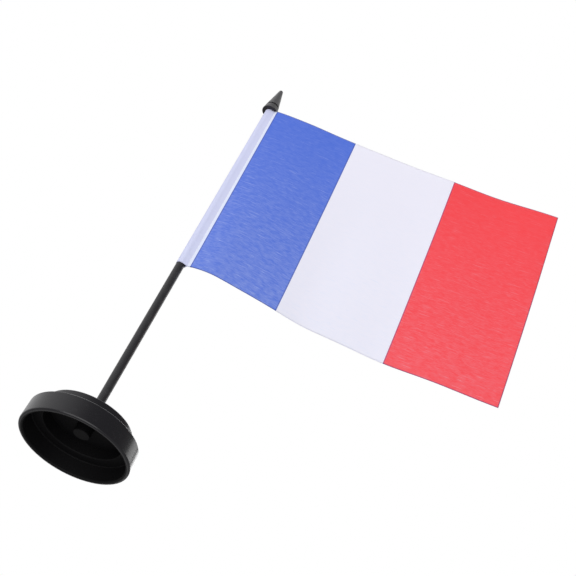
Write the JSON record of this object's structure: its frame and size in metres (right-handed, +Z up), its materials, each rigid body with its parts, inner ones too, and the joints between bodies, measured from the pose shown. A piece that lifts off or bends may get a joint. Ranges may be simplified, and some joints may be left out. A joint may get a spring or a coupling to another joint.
{
  "type": "desk flag stand",
  "caption": "Small table flag: a striped cloth flag with a sewn sleeve on a thin pole, with a pointed finial and a round hollow stepped base.",
  "frame": {"origin": "centre of the base's rim, on the plane that it stands on", "axes": "+Z up along the pole, +X the way the flag flies, +Y to the back of the flag"},
  "size_m": [0.2179, 0.0582, 0.2853],
  "materials": {
    "base_plastic": "smooth moulded black plastic with a soft gloss",
    "pole_plastic": "satin extruded black plastic",
    "finial_plastic": "satin moulded black plastic",
    "flag_fabric": "thin woven polyester printed in blue, white and red stripes, unprinted white sleeve",
    "seam_thread": "white sewing thread"
  },
  "bodies": {
    "base": {"base": "base_plastic"},
    "pole": {"pole": "pole_plastic"},
    "flag": {"flag_cloth": "flag_fabric", "sleeve_seam": "seam_thread"},
    "finial": {"finial": "finial_plastic"}
  },
  "joints": [
    {"name": "pole_lift", "type": "slide", "parent": "base", "child": "pole", "axis": [0, 0, 1], "range_m": [0, 0.02]},
    {"name": "flag_turn", "type": "hinge", "parent": "pole", "child": "flag", "pos_m": [0, 0, 0.1943], "axis": [0, 0, 1], "continuous": true},
    {"name": "finial_pull", "type": "slide", "parent": "pole", "child": "finial", "axis": [0, 0, 1], "range_m": [0, 0.016]}
  ]
}
